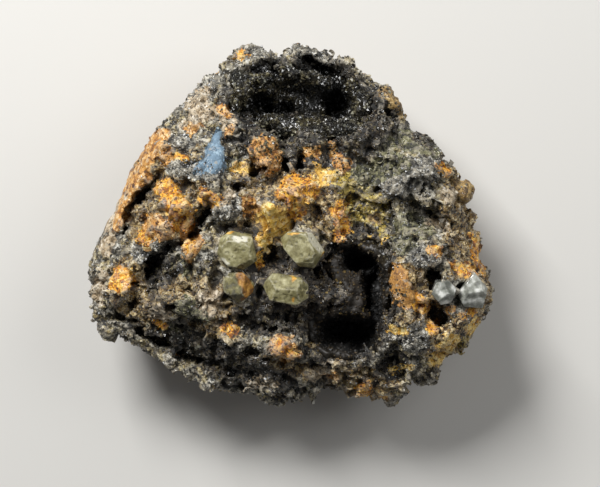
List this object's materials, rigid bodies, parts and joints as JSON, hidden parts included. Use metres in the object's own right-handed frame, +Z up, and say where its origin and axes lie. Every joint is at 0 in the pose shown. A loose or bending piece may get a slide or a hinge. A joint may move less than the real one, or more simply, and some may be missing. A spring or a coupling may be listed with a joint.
{
  "type": "embolite mineral specimen",
  "caption": "Lump of porous rusty gossan with small grey-green embolite crystals in its top, dark crystal-lined hollows and glassy quartz points, lying on its flat broken underside.",
  "frame": {"origin": "on the resting plane, under the middle of the lump", "axes": "+Z up, away from the resting face and towards the crystals; +X towards the end with the quartz points; +Y towards the upper hollow"},
  "size_m": [0.0445, 0.0397, 0.0217],
  "materials": {
    "gossan": "rough porous iron oxide, ochre to dark brown, with glassy dark specks",
    "embolite": "waxy to dull resinous, grey-green, pitted",
    "embolite_rusted": "waxy grey-green with a rusty stain",
    "dark_crust": "glittering black and brown druse",
    "quartz": "glassy, greyish, slightly milky"
  },
  "bodies": {
    "root": {"gossan_matrix": "gossan", "embolite_crystal_left": "embolite", "embolite_crystal_right": "embolite", "embolite_crystal_front": "embolite", "embolite_crystal_rusted": "embolite_rusted", "quartz_point_outer": "quartz", "quartz_point_inner": "quartz", "upper_hollow_crust": "dark_crust", "lower_hollow_crust": "dark_crust"}
  },
  "joints": []
}
